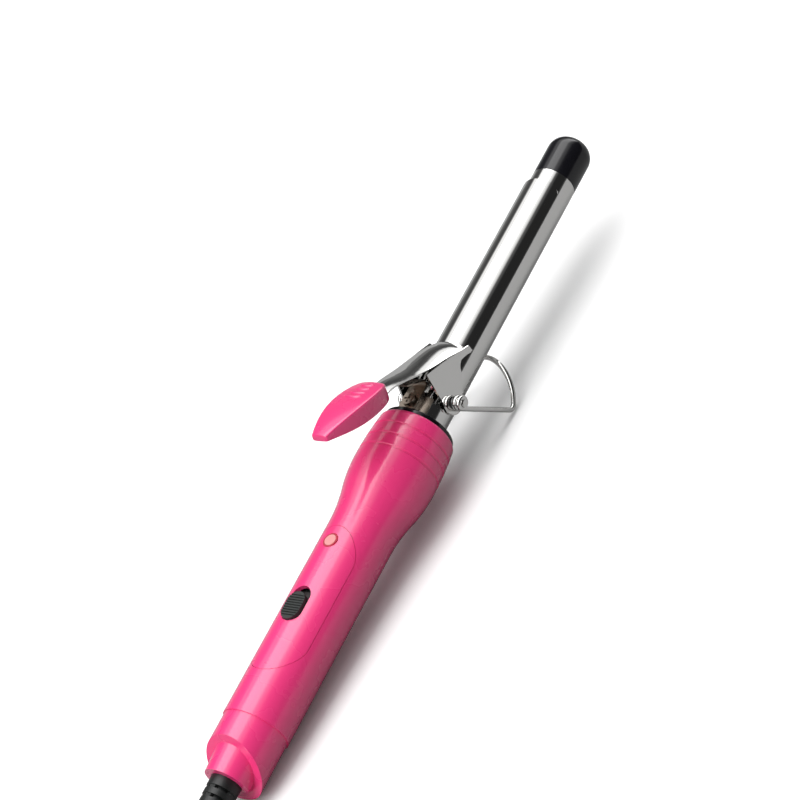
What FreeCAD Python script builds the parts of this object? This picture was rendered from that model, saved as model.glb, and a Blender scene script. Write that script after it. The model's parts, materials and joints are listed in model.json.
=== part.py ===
import FreeCAD, Part
import Sketcher
import math
import os

# A curling wand with a spring clip, a wire stand and a swivelling cord.
# Every sub-part is drawn in the wand's own frame: X runs along the barrel towards its tip,
# Z towards the thumb lever, Y across, and x = 0 is just in front of the handle's mouth.
# At the end each one is placed so that the wand stands on its wire stand and on the rear of its handle.

V = FreeCAD.Vector
os.makedirs("parts", exist_ok=True)
doc = FreeCAD.newDocument("CurlingWand")
sheet = doc.addObject("Spreadsheet::Sheet", "Sizes")


# ---------------------------------------------------------------- sizes

class Size:
    """A number together with the spreadsheet expression that gives it."""

    def __init__(self, number, text):
        self.number = number
        self.text = text

    def __add__(self, other):
        other = as_size(other)
        return Size(self.number + other.number, f"({self.text} + {other.text})")

    def __radd__(self, other):
        return as_size(other) + self

    def __sub__(self, other):
        other = as_size(other)
        return Size(self.number - other.number, f"({self.text} - {other.text})")

    def __rsub__(self, other):
        return as_size(other) - self

    def __mul__(self, other):
        other = as_size(other)
        return Size(self.number * other.number, f"({self.text} * {other.text})")

    def __rmul__(self, other):
        return as_size(other) * self

    def __truediv__(self, other):
        other = as_size(other)
        return Size(self.number / other.number, f"({self.text} / {other.text})")

    def __neg__(self):
        return Size(-self.number, f"(-{self.text})")


def as_size(value):
    return value if isinstance(value, Size) else Size(float(value), f"({float(value):.6f})")


def root(size):
    return Size(math.sqrt(size.number), f"sqrt({size.text})")


def sine(degrees):
    return Size(math.sin(math.radians(degrees.number)), f"sin({degrees.text})")


def cosine(degrees):
    return Size(math.cos(math.radians(degrees.number)), f"cos({degrees.text})")


rows = 0


def cell(alias, number):
    """Write one driving dimension into the sheet, in millimetres or degrees, and give it as a Size."""
    global rows
    rows += 1
    sheet.set(f"A{rows}", alias.replace("_", " "))
    sheet.set(f"B{rows}", str(number))
    sheet.setAlias(f"B{rows}", alias)
    return Size(float(number), f"Sizes.{alias}")


# Barrel and what heats it
barrel_r = cell("barrel_radius", 9.5)
barrel_wall = cell("barrel_wall", 0.7)
barrel_front = cell("barrel_front", 123.6)
barrel_rear = cell("barrel_rear", 31)
tip_length = cell("tip_length", 22.4)
tip_round = cell("tip_round", 7)
tip_plug = cell("tip_plug_length", 10)
heater_length = cell("heater_length", 78)
heater_rear = cell("heater_rear", 28)
heater_width = cell("heater_width", 10)
heater_thick = cell("heater_thickness", 2.4)
film = cell("film_thickness", 0.3)
fit = cell("fit_gap", 0.1)
fuse_r = cell("fuse_radius", 2)
fuse_length = cell("fuse_length", 10)
lead_r = cell("lead_radius", 0.9)
lead_apart = cell("lead_apart", 6)

# Handle
grip_r = cell("grip_radius", 13.6)
grip_wall = cell("grip_wall", 1.9)
grip_rear = cell("grip_rear", 148.3)
flare_r = cell("flare_radius", 17.4)
flare_rear = cell("flare_rear", 61)
flare_top = cell("flare_top", 30)
mouth_r = cell("mouth_radius", 15.94)
mouth = cell("mouth_setback", 9.1)
mouth_round = cell("mouth_round", 1.6)
groove_first = cell("groove_first", 16.1)
groove_pitch = cell("groove_pitch", 5.5)
groove_r = cell("groove_radius", 0.7)
groove_deep = cell("groove_depth", 0.45)
bushing_r = cell("bushing_radius", 13.2)
bushing_length = cell("bushing_length", 7)
bushing_flange_r = cell("bushing_flange_radius", 14.9)
bushing_proud = cell("bushing_proud", 2)
seat_length = cell("seat_length", 6)

# Switch panel, switch and lamp
panel_middle = cell("panel_middle", 97.4)
panel_half = cell("panel_half_length", 33)
panel_wide = cell("panel_half_width", 11.6)
panel_end = cell("panel_end_length", 14.5)
panel_nose_r = cell("panel_nose_radius", 10)
seam = cell("seam_gap", 0.15)
slot_middle = cell("slot_middle", 100.6)
slot_length = cell("slot_length", 15.8)
slot_width = cell("slot_width", 9)
knob_length = cell("knob_length", 12.3)
knob_width = cell("knob_width", 8.4)
knob_proud = cell("knob_proud", 0.9)
knob_end_gap = cell("knob_end_gap", 0.25)
flange_level = cell("flange_level", 9.6)
flange_thick = cell("flange_thickness", 0.8)
switch_long = cell("switch_length", 18)
switch_wide = cell("switch_width", 9)
switch_deep = cell("switch_depth", 7)
ear_long = cell("switch_ear_length", 37)
screw_r = cell("screw_radius", 1.1)
screw_head_r = cell("screw_head_radius", 2)
lamp_middle = cell("lamp_middle", 71.4)
lamp_r = cell("lamp_radius", 3.3)
lamp_rim = cell("lamp_rim", 0.75)
neon_r = cell("neon_radius", 2.1)
neon_length = cell("neon_length", 10)

# Rear cap, cord clamp and swivel
cap_long = cell("cap_length", 23.2)
ridge_back = cell("ridge_back", 17.2)
ridge_lean = cell("ridge_lean", 26.6)
collar_r = cell("collar_radius", 9)
collar_back = cell("collar_back", 4)
cap_rear = grip_rear + cap_long
ridge_middle = grip_rear + ridge_back
collar_root_r = cell("collar_root_radius", 10.8)
cap_round = cell("cap_round", 2.4)
cap_bore_r = cell("cap_bore_radius", 6.25)
cap_r = cell("cap_radius", 13.1)
spigot_length = cell("spigot_length", 9)
stem_r = cell("stem_radius", 6.15)
stem_out = cell("stem_out", 4)
stem_flange_r = cell("stem_flange_radius", 8.2)
swivel_gap = cell("swivel_gap", 0.3)
rib_pitch = cell("rib_pitch", 3.6)
rib_width = cell("rib_width", 2.3)
rib_r = cell("rib_radius", 6)
rib_taper = cell("rib_taper", 0.2)
rib_core_r = cell("rib_core_radius", 4.1)

# Clip, lever and thumb rest
clip_gap = cell("clip_gap", 0.35)
clip_wall = cell("clip_wall", 0.8)
clip_front = cell("clip_front", 117)
clip_root = cell("clip_root", 29)
clip_angle = cell("clip_half_angle", 64)
clip_corner = cell("clip_corner", 4)
lever_slope = cell("lever_slope", 22)
lever_end = cell("lever_end", 30)
lever_tail = cell("lever_tail", 12)
lever_half = cell("lever_half_width", 4.6)
lever_level = cell("lever_level", 30.2)
ear_lean = cell("ear_lean", 6.4)
ear_r = cell("ear_radius", 5)
rest_long = cell("thumb_rest_length", 37)
rest_half = cell("thumb_rest_half_width", 9)
rest_front = cell("thumb_rest_front_half_width", 5.6)
rest_nose = cell("thumb_rest_nose_half_width", 3.8)
rest_waist = cell("thumb_rest_widest_back", 14)
rest_over = cell("thumb_rest_over", 6)
rest_under = cell("thumb_rest_under", 2)
rest_setback = cell("thumb_rest_setback", 0.8)
rivet_r = cell("rivet_radius", 1.2)
rivet_front = cell("rivet_front", 8)
rivet_rear = cell("rivet_rear", 22)

# Pivot, stand and spring
pivot_x = cell("pivot_ahead", 6.3)
pivot_z = cell("pivot_up", 1)
stud_r = cell("stud_radius", 1.05)
stud_head_r = cell("stud_head_radius", 1.5)
stud_foot_r = cell("stud_foot_radius", 2.4)
stud_head = cell("stud_head_thickness", 0.5)
pin_gap = cell("pin_gap", 0.06)
washer_r = cell("washer_radius", 2.6)
washer_thick = cell("washer_thickness", 0.35)
washer_gap = cell("washer_gap", 1.8)
washer_in = barrel_r + washer_gap
side_gap = cell("side_gap", 0.15)
wire_r = cell("wire_radius", 1.05)
coil_pitch = cell("stand_coil_pitch", 1.95)
leg_long = cell("leg_length", 33.9)
leg_drop = cell("leg_drop_angle", 52.4)
foot_lean = cell("foot_lean", 94.9)
foot_deep = cell("foot_depth", 20.7)
foot_tip_r = cell("foot_tip_radius", 12)
heel_r = cell("heel_radius", 2.6)
saddle_wall = cell("saddle_wall", 0.9)
saddle_angle = cell("saddle_half_angle", 42)
saddle_rear = cell("saddle_rear", 6.5)
saddle_front = cell("saddle_front", 2.2)
spring_wide = cell("spring_width", 8)
spring_thick = cell("spring_thickness", 0.6)
spring_bend = cell("spring_bend_radius", 1.7)
spring_arm = cell("spring_arm", 10)
spring_rise = cell("spring_rise_angle", 38)
spring_screw_x = cell("spring_screw_setback", 2.4)
spring_screw_r = cell("spring_screw_radius", 1.3)
spring_head_r = cell("spring_head_radius", 2.9)
spring_head = cell("spring_head_height", 1.4)

# Cord and plug
cord_r = cell("cord_radius", 3)
floor_gap = cell("floor_gap", 0.1)
hank_long = cell("hank_length", 104)
hank_wide = cell("hank_width", 49)
hank_high = cell("hank_height", 18)
hank_band = cell("hank_band", 12)
hank_x = cell("hank_x", -258)
hank_y = cell("hank_y", -7.9)
tie_thick = cell("tie_thickness", 0.8)
tie_long = cell("tie_length", 12)
plug_x = cell("plug_rear_x", -339)
plug_y = cell("plug_y", 1)
plug_long = cell("plug_length", 32)
plug_wide = cell("plug_width", 27)
plug_deep = cell("plug_depth", 13)
plug_round = cell("plug_round", 2)
neck_long = cell("plug_neck_length", 8)
shoulder = cell("plug_shoulder", 14)
plug_pin_r = cell("plug_pin_radius", 2)
plug_pin_long = cell("plug_pin_length", 19)
plug_pins_apart = cell("plug_pins_apart", 19)

doc.recompute()

inner_r = barrel_r - barrel_wall
grip_inner = grip_r - grip_wall
parts = []


# ---------------------------------------------------------------- helpers

def bind(item, name, size):
    """Let an expression of the sheet's cells drive one property."""
    item.setExpression(name, as_size(size).text)


def part(item, label):
    item.Label = label
    parts.append(item)
    return item


def body(label):
    return part(doc.addObject("PartDesign::Body", "Body_" + label), label)


def origin(owner, role):
    return next(feature for feature in owner.Origin.OriginFeatures if feature.Role == role)


def sketch_on(owner, plane, offset=0):
    """An empty sketch on one of the body's own planes, moved along the plane's normal."""
    sketch = owner.newObject("Sketcher::SketchObject", "Sketch")
    sketch.AttachmentSupport = (origin(owner, plane), "")
    sketch.MapMode = "FlatFace"
    bind(sketch, "AttachmentOffset.Base.z", offset)
    return sketch


def arc_between(start, end, radius):
    """The short arc from start to end; a positive radius turns left on the way, a negative one right."""
    chord = end - start
    reach = math.sqrt(max(radius * radius - chord.Length ** 2 / 4, 0))
    left = V(-chord.y, chord.x, 0).normalize()
    centre = (start + end) * 0.5 + left * (reach if radius > 0 else -reach)
    first, last = (start, end) if radius > 0 else (end, start)
    angles = [math.atan2((p - centre).y, (p - centre).x) for p in (first, last)]
    if angles[1] < angles[0]:
        angles[1] += 2 * math.pi
    return Part.ArcOfCircle(Part.Circle(centre, V(0, 0, 1), abs(radius)), *angles)


def outline(sketch, corners):
    """A closed outline whose corners are (x, y) or (x, y, radius of the arc to the next corner)."""
    points = [V(as_size(c[0]).number, as_size(c[1]).number, 0) for c in corners]
    starts = []
    for i, corner in enumerate(corners):
        here, there = points[i], points[(i + 1) % len(points)]
        radius = as_size(corner[2]) if len(corner) > 2 else None
        if radius:
            edge = sketch.addGeometry(arc_between(here, there, radius.number))
            size = radius if radius.number > 0 else -radius
            number = sketch.addConstraint(Sketcher.Constraint("Radius", edge, size.number))
            sketch.setExpression(f"Constraints[{number}]", size.text)
        else:
            edge = sketch.addGeometry(Part.LineSegment(here, there))
        backwards = radius is not None and radius.number < 0
        starts.append((edge, 2 if backwards else 1, 1 if backwards else 2))
    for i, (edge, first, last) in enumerate(starts):
        following, entry, _ = starts[(i + 1) % len(starts)]
        sketch.addConstraint(Sketcher.Constraint("Coincident", edge, last, following, entry))
        for kind, size in zip(("DistanceX", "DistanceY"), corners[i][:2]):
            size = as_size(size)
            number = sketch.addConstraint(Sketcher.Constraint(kind, -1, 1, edge, first, size.number))
            sketch.setExpression(f"Constraints[{number}]", size.text)
    return sketch


def ring_mark(sketch, x, y, radius):
    """A circle whose centre and radius are bound."""
    x, y, radius = as_size(x), as_size(y), as_size(radius)
    edge = sketch.addGeometry(Part.Circle(V(x.number, y.number, 0), V(0, 0, 1), radius.number))
    for kind, ends, size in (
        ("Radius", (edge,), radius),
        ("DistanceX", (-1, 1, edge, 3), x),
        ("DistanceY", (-1, 1, edge, 3), y),
    ):
        number = sketch.addConstraint(Sketcher.Constraint(kind, *ends, size.number))
        sketch.setExpression(f"Constraints[{number}]", size.text)
    return sketch


def turn(owner, sketch):
    """Turn a sketch on the XZ plane about the wand's axis."""
    feature = owner.newObject("PartDesign::Revolution", "Revolution")
    feature.Profile = sketch
    feature.ReferenceAxis = (sketch, ["H_Axis"])
    feature.Angle = 360
    return feature


def turned(label, *outlines):
    owner = body(label)
    for corners in outlines:
        turn(owner, outline(sketch_on(owner, "XZ_Plane"), corners))
    return owner


def pad(owner, sketch, length, middle=False):
    feature = owner.newObject("PartDesign::Pad", "Pad")
    feature.Profile = sketch
    bind(feature, "Length", length)
    feature.SideType = "Symmetric" if middle else "One side"
    return feature


def pocket(owner, sketch, length, reverse=False, middle=False):
    """Cut a sketch out of the body, and stop if it cuts nothing."""
    doc.recompute()
    before = owner.Shape.Volume
    feature = owner.newObject("PartDesign::Pocket", "Pocket")
    feature.Profile = sketch
    bind(feature, "Length", length)
    feature.Reversed = reverse
    feature.SideType = "Symmetric" if middle else "One side"
    doc.recompute()
    if owner.Shape.Volume > before - 0.01:
        raise RuntimeError(f"a pocket in {owner.Label} cuts nothing")
    return feature


def solid(kind, sizes, place=(0, 0, 0), rotation=None):
    """A Part primitive with bound sizes and place."""
    item = doc.addObject("Part::" + kind, kind)
    for name, size in sizes.items():
        bind(item, name, size)
    if rotation:
        item.Placement = FreeCAD.Placement(V(), rotation)
    for name, size in zip("xyz", place):
        bind(item, "Placement.Base." + name, size)
    return item


ALONG_X = FreeCAD.Rotation(V(0, 1, 0), 90)
ALONG_Y = FreeCAD.Rotation(V(1, 0, 0), -90)


def rod(radius, length, place, rotation=None):
    return solid("Cylinder", {"Radius": radius, "Height": length}, place, rotation)


def block(sizes, middle):
    """A box given by its three sizes and its middle."""
    sizes = [as_size(size) for size in sizes]
    place = [as_size(at) - size / 2 for at, size in zip(middle, sizes)]
    return solid("Box", dict(zip(("Length", "Width", "Height"), sizes)), place)


def fused(label, *pieces):
    item = doc.addObject("Part::MultiFuse", "Fuse")
    item.Shapes = list(pieces)
    return part(item, label) if label else item


def cut(label, base, *tools):
    item = doc.addObject("Part::Cut", "Cut")
    item.Base = base
    item.Tool = tools[0] if len(tools) == 1 else fused(None, *tools)
    return part(item, label) if label else item


def group(label, *pieces):
    """Solids that share one node and are placed together."""
    item = doc.addObject("Part::Compound", "Group")
    item.Links = list(pieces)
    return part(item, label)


def feature(label, shape):
    item = doc.addObject("Part::Feature", "Feature_" + label)
    item.Shape = shape
    return part(item, label)


def screw(shank_r, shank, head_r, head, place, rotation):
    """A screw whose head starts at place and whose shank runs on along the rotated Z."""
    along = rotation.multVec(V(0, 0, 1))
    overlap = head * 0.5
    start = [as_size(at) + overlap * step for at, step in zip(place, along)]
    return fused(None, rod(head_r, head, place, rotation),
                 rod(shank_r, shank + head - overlap, start, rotation))


# ---------------------------------------------------------------- barrel and heater

def make_barrel():
    """The chromed tube, bored for the two pivot studs."""
    tube = turned("barrel_tube", [(-barrel_rear, inner_r), (barrel_front, inner_r),
                                  (barrel_front, barrel_r), (-barrel_rear, barrel_r)])
    across = ring_mark(sketch_on(tube, "XZ_Plane"), pivot_x, pivot_z, stud_r)
    pocket(tube, across, barrel_r * 4, middle=True)
    top = ring_mark(sketch_on(tube, "XY_Plane"), -spring_screw_x, 0, spring_screw_r)
    pocket(tube, top, barrel_r * 2, reverse=True)


def make_cool_tip():
    """The heat-proof end plug, rounded at its front and held in the tube by its spigot."""
    end = barrel_front + tip_length
    spigot = inner_r - fit
    turned("cool_tip", [(barrel_front - tip_plug, 0), (end, 0), (end, barrel_r - tip_round, tip_round),
                        (end - tip_round, barrel_r), (barrel_front, barrel_r),
                        (barrel_front, spigot), (barrel_front - tip_plug, spigot)])


def make_heater():
    """A flat heating element in insulating film between two half-round aluminium spreaders."""
    middle = heater_rear + heater_length / 2
    sleeve_wide = heater_width + 2 * film + 2 * fit
    sleeve_thick = heater_thick + 2 * film + 2 * fit
    group("heating_element", block((heater_length, heater_width, heater_thick), (middle, 0, 0)))
    cut("insulating_film", block((heater_length + 4, sleeve_wide, sleeve_thick), (middle, 0, 0)),
        block((heater_length + 6, sleeve_wide - 2 * film, sleeve_thick - 2 * film), (middle, 0, 0)))
    spreader_r = inner_r - fit
    flat = sleeve_thick / 2 + fit
    half = root(spreader_r * spreader_r - flat * flat)
    for label, side in (("spreader_upper", 1), ("spreader_lower", -1)):
        owner = body(label)
        section = outline(sketch_on(owner, "YZ_Plane", heater_rear),
                          [(-half * side, flat * side), (half * side, flat * side, spreader_r),
                           (0, spreader_r * side, spreader_r)])
        pad(owner, section, heater_length)


def make_fuse_and_leads():
    """The thermal fuse in its glass-fibre sleeve, and the two leads that run back to the switch."""
    fuse_front = heater_rear - 5
    group("thermal_fuse", rod(fuse_r, fuse_length, (fuse_front - fuse_length, -lead_apart / 2, 0), ALONG_X))
    sleeve_long = fuse_length + 2
    sleeve_rear = fuse_front - fuse_length - 1
    cut("fuse_sleeve",
        rod(fuse_r + fit + film, sleeve_long, (sleeve_rear, -lead_apart / 2, 0), ALONG_X),
        rod(fuse_r + fit, sleeve_long + 2, (sleeve_rear - 1, -lead_apart / 2, 0), ALONG_X))
    lead_rear = slot_middle - switch_long / 2 - 14
    fused_lead_front = fuse_front - fuse_length - 0.2
    live = rod(lead_r, fused_lead_front + lead_rear, (-lead_rear, -lead_apart / 2, 0), ALONG_X)
    bridge = rod(lead_r, heater_rear - fuse_front - 0.4, (fuse_front + 0.2, -lead_apart / 2, 0), ALONG_X)
    neutral = rod(lead_r, heater_rear - 0.2 + lead_rear, (-lead_rear, lead_apart / 2, 0), ALONG_X)
    group("heater_leads", live, bridge, neutral)


# ---------------------------------------------------------------- handle

def flare_radius(back):
    """Radius of the flared front of the handle, at a distance behind x = 0 ahead of the widest place."""
    rise = flare_r - mouth_r
    run = flare_top - mouth
    crown = (run * run + rise * rise) / (2 * rise)
    along = flare_top - back
    return flare_r - crown + root(crown * crown - along * along)


def handle_corners():
    """Outer and inner outline of the handle shell, from the rear seam to the mouth."""
    rise = flare_r - grip_r
    run = flare_rear - flare_top
    swell = (run * run + rise * rise) / (4 * rise)
    nose_rise = flare_r - mouth_r
    nose_run = flare_top - mouth
    crown = (nose_run * nose_run + nose_rise * nose_rise) / (2 * nose_rise)
    shoulder = mouth + mouth_round
    lip = flare_radius(shoulder)
    seat = bushing_r + fit
    half_groove = root(groove_r * groove_r - (groove_r - groove_deep) * (groove_r - groove_deep))
    grooves = []
    for i in (2, 1, 0):
        middle = groove_first + groove_pitch * i
        back, front = middle + half_groove, middle - half_groove
        grooves += [(-back, flare_radius(back), groove_r), (-front, flare_radius(front), -crown)]
    return [(-grip_rear, grip_inner), (-grip_rear, grip_r), (-flare_rear, grip_r, swell),
            (-(flare_rear + flare_top) / 2, (grip_r + flare_r) / 2, -swell),
            (-flare_top, flare_r, -crown), *grooves, (-shoulder, lip, -mouth_round),
            (-mouth, lip - mouth_round), (-mouth, seat), (-(mouth + bushing_length - bushing_proud), seat),
            (-(mouth + bushing_length + 6), flare_r - 2 * grip_wall),
            (-(barrel_rear + seat_length), flare_r - 2 * grip_wall),
            (-(flare_rear - 4), grip_inner)]


def panel_outline(sketch, shrink):
    """The long oval of the switch panel from above: straight sides, round ends of three arcs."""
    ahead = panel_end - panel_nose_r
    flank_r = ((ahead * ahead + panel_wide * panel_wide - panel_nose_r * panel_nose_r)
               / (2 * (panel_wide - panel_nose_r)))
    apart = flank_r - panel_nose_r
    nose, flank = panel_nose_r - shrink, flank_r - shrink
    join_x, join_y = ahead + nose * ahead / apart, nose * (flank_r - panel_wide) / apart
    half, end = panel_wide - shrink, panel_end - shrink
    straight = panel_half - panel_end
    rear, front = -panel_middle - straight, -panel_middle + straight
    return outline(sketch, [(rear, -half), (front, -half, flank), (front + join_x, -join_y, nose),
                            (front + end, 0, nose), (front + join_x, join_y, flank), (front, half),
                            (rear, half, flank), (rear - join_x, join_y, nose), (rear - end, 0, nose),
                            (rear - join_x, -join_y, flank)])


def make_handle():
    """The moulded handle shell with three grip grooves, the panel's opening and a screw hole below."""
    shell = turned("handle_shell", handle_corners())
    pocket(shell, panel_outline(sketch_on(shell, "XY_Plane"), 0), grip_r * 2, reverse=True)
    screw_x = -(grip_rear - spigot_length / 2)
    hole = ring_mark(sketch_on(shell, "XY_Plane"), screw_x, 0, screw_r + fit)
    pocket(shell, hole, grip_r * 2)
    recess = ring_mark(sketch_on(shell, "XY_Plane", -(grip_r - 0.9)), screw_x, 0, screw_head_r + 0.2)
    pocket(shell, recess, grip_r)


def make_panel():
    """The oval switch panel: a piece of the same tube, with a slot, a lamp hole and two screw bosses."""
    panel = body("switch_panel")
    section = outline(sketch_on(panel, "YZ_Plane", -(panel_middle + panel_half)),
                      [(-grip_r, 0), (-grip_inner, 0, -grip_inner), (0, grip_inner, -grip_inner),
                       (grip_inner, 0), (grip_r, 0, grip_r), (0, grip_r, grip_r)])
    pad(panel, section, panel_half * 2)
    frame = sketch_on(panel, "XY_Plane")
    panel_outline(frame, seam)
    margin = grip_r * 2
    rear, front = -panel_middle - panel_half - margin, -panel_middle + panel_half + margin
    outline(frame, [(rear, -margin), (front, -margin), (front, margin), (rear, margin)])
    pocket(panel, frame, grip_r * 2, reverse=True)
    boss_level = flange_level - 0.3
    for side in (-1, 1):
        x = -slot_middle + side * (ear_long / 2 - screw_head_r)
        boss = ring_mark(sketch_on(panel, "XY_Plane", boss_level), x, 0, screw_head_r + 0.3)
        pad(panel, boss, grip_inner + 0.4 - boss_level)
        pilot = ring_mark(sketch_on(panel, "XY_Plane", boss_level), x, 0, screw_r)
        pocket(panel, pilot, grip_inner - boss_level, reverse=True)
    round_r = slot_width / 2
    straight = (slot_length - slot_width) / 2
    rear, front = -slot_middle - straight, -slot_middle + straight
    slot = outline(sketch_on(panel, "XY_Plane"),
                   [(rear, -round_r), (front, -round_r, round_r), (front + round_r, 0, round_r),
                    (front, round_r), (rear, round_r, round_r), (rear - round_r, 0, round_r)])
    pocket(panel, slot, grip_r * 2, reverse=True)
    pocket(panel, ring_mark(sketch_on(panel, "XY_Plane"), -lamp_middle, 0, lamp_r), grip_r * 2, reverse=True)


def make_bushings():
    """The flanged black bushing in the mouth and the seat that holds the barrel's rear end."""
    back, face = -(mouth + bushing_length - bushing_proud), -(mouth - bushing_proud)
    edge = as_size(0.8)
    turned("mouth_bushing", [(back, barrel_r + fit), (face, barrel_r + fit),
                             (face, bushing_flange_r - edge, edge),
                             (face - edge, bushing_flange_r), (-mouth, bushing_flange_r),
                             (-mouth, bushing_r), (back, bushing_r)])
    rear, front = -(barrel_rear + seat_length / 2), -(barrel_rear - seat_length / 2)
    end = -(barrel_rear + fit)
    outer = flare_r - 2 * grip_wall - fit
    turned("barrel_seat", [(rear, inner_r - 2), (end, inner_r - 2), (end, barrel_r + fit),
                           (front, barrel_r + fit), (front, outer), (rear, outer)])


def make_rear_cap():
    """The rear cap: its skin ends at a slanting ridge, and a smaller collar carries the cord's swivel."""
    front, rear = -grip_rear, -cap_rear
    spigot = grip_inner - fit
    pocket_r = stem_flange_r + swivel_gap
    cavity_rear = rear + 8
    base = body("rear_cap_skin")
    parts.remove(base)
    turn(base, outline(sketch_on(base, "XZ_Plane"),
                       [(rear, 0), (front, 0), (front, cap_r), (rear + cap_round, cap_r, cap_round),
                        (rear, cap_r - cap_round)]))
    reach = cap_rear
    slant = sketch_on(base, "XZ_Plane")
    lean = sine(ridge_lean) / cosine(ridge_lean)
    outline(slant, [(-ridge_middle - grip_r * lean, -grip_r), (-ridge_middle + grip_r * lean, grip_r),
                    (-ridge_middle + grip_r * lean, reach), (-ridge_middle - reach, reach),
                    (-ridge_middle - reach, -grip_r)])
    pocket(base, slant, grip_r * 4, middle=True)
    collar_long = cap_long - collar_back
    collar = solid("Cone", {"Radius1": collar_r, "Radius2": collar_root_r, "Height": collar_long},
                  (rear, 0, 0), ALONG_X)
    stub = rod(spigot, spigot_length + 2, (front - 2, 0, 0), ALONG_X)
    bore = rod(cap_bore_r, 40, (rear - 5, 0, 0), ALONG_X)
    cavity = rod(pocket_r, 60, (cavity_rear, 0, 0), ALONG_X)
    hole = rod(screw_r, grip_r, (-(grip_rear - spigot_length / 2), 0, -grip_r))
    cut("rear_cap", fused(None, base, collar, stub), bore, cavity, hole)


def make_cap_screw():
    length = grip_wall + 2.2
    part(screw(screw_r - 0.05, length, screw_head_r, as_size(0.8),
               (-(grip_rear - spigot_length / 2), 0, -(grip_r - 0.1)), FreeCAD.Rotation()), "cap_screw")


# ---------------------------------------------------------------- switch and lamp

def make_switch():
    """The slide switch, its terminals and screws, and the knurled knob that slides in the panel."""
    ear_top = flange_level - 0.3 - fit
    ear_thick = as_size(1)
    middle = -slot_middle
    lever_x = middle - (slot_length - knob_length) / 2 + knob_end_gap
    body_top = ear_top - 0.4
    screws_at = [middle + side * (ear_long / 2 - screw_head_r) for side in (-1, 1)]
    cut("switch_body",
        fused(None, block((switch_long, switch_wide, switch_deep), (middle, 0, body_top - switch_deep / 2)),
              block((ear_long, switch_wide - 3, ear_thick), (middle, 0, ear_top - ear_thick / 2))),
        block((11, 3.2, 5), (middle, 0, ear_top)),
        *[rod(screw_r + fit, 6, (x, 0, ear_top - 4)) for x in screws_at])
    terminal_top = body_top - switch_deep
    group("switch_terminals", *[block((0.8, 3, 4), (middle + x, 0, terminal_top - 2)) for x in (-6, 0, 6)])
    group("switch_screws", *[
        screw(screw_r - 0.05, as_size(3), screw_head_r, as_size(1), (x, 0, ear_top - 2), FreeCAD.Rotation())
        for x in screws_at])

    knob = body("switch_slider")
    flange_half = (knob_length / 2) + 2.5
    pad(knob, outline(sketch_on(knob, "XY_Plane", flange_level),
                      [(lever_x - flange_half, -4.7), (lever_x + flange_half, -4.7),
                       (lever_x + flange_half, 4.7), (lever_x - flange_half, 4.7)]), flange_thick)
    round_r = knob_width / 2
    straight = (knob_length - knob_width) / 2
    pad(knob, outline(sketch_on(knob, "XY_Plane", flange_level + 0.3),
                      [(lever_x - straight, -round_r), (lever_x + straight, -round_r, round_r),
                       (lever_x + straight + round_r, 0, round_r), (lever_x + straight, round_r),
                       (lever_x - straight, round_r, round_r), (lever_x - straight - round_r, 0, round_r)]),
        grip_r + knob_proud - flange_level - 0.3)
    pad(knob, outline(sketch_on(knob, "XY_Plane", flange_level - 2.4),
                      [(lever_x - 2, -1.3), (lever_x + 2, -1.3), (lever_x + 2, 1.3), (lever_x - 2, 1.3)]),
        as_size(2.6))
    knurl_pitch = as_size(1.1)
    for i in range(-4, 5):
        x = lever_x + i * knurl_pitch
        groove = outline(sketch_on(knob, "XZ_Plane"),
                         [(x - 0.3, grip_r + knob_proud + 0.1), (x, grip_r + knob_proud - 0.45),
                          (x + 0.3, grip_r + knob_proud + 0.1)])
        pocket(knob, groove, knob_width + 2, middle=True)


def make_lamp():
    """The indicator lamp: red bezel, pale lens, neon bulb and its resistor."""
    skin = grip_r - 0.15
    bezel_r = lamp_r - fit
    lens_r = bezel_r - lamp_rim
    bezel_flange = grip_inner - 1.9
    cut("lamp_bezel",
        fused(None, rod(bezel_r, skin + 0.15 - bezel_flange, (-lamp_middle, 0, bezel_flange)),
              rod(lamp_r + 1.2, 0.8, (-lamp_middle, 0, bezel_flange))),
        rod(lens_r + fit / 2, 10, (-lamp_middle, 0, bezel_flange - 2)))
    fused("lamp_lens", rod(lens_r, skin + 1.2 - bezel_flange, (-lamp_middle, 0, bezel_flange - 0.9)),
          rod(lens_r + 0.8, 0.8, (-lamp_middle, 0, bezel_flange - 0.9)))
    rear = -lamp_middle - neon_length / 2
    group("neon_lamp", rod(neon_r, neon_length, (rear, 0, bezel_flange - 1.3 - neon_r), ALONG_X))
    group("lamp_resistor", rod(1.2, 7, (rear - 2, lead_apart / 2 + 1.2, bezel_flange - 5), ALONG_X))


# ---------------------------------------------------------------- clip, lever and thumb rest

def arch(owner, x, half, edge, crown):
    """A thin arched cross-section of the lever at x, with its edges and crown at the given heights."""
    rise = crown - edge
    outer_r = (half * half + rise * rise) / (2 * rise)
    thin = clip_wall
    low = edge - thin
    inner_rise = crown - thin - low
    inner_half = half - 0.02
    inner_r_here = (inner_half * inner_half + inner_rise * inner_rise) / (2 * inner_rise)
    return outline(sketch_on(owner, "YZ_Plane", x),
                   [(half, edge, outer_r), (0, crown, outer_r), (-half, edge),
                    (-inner_half, low, -inner_r_here),
                    (0, crown - thin, -inner_r_here), (inner_half, low)])


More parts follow.
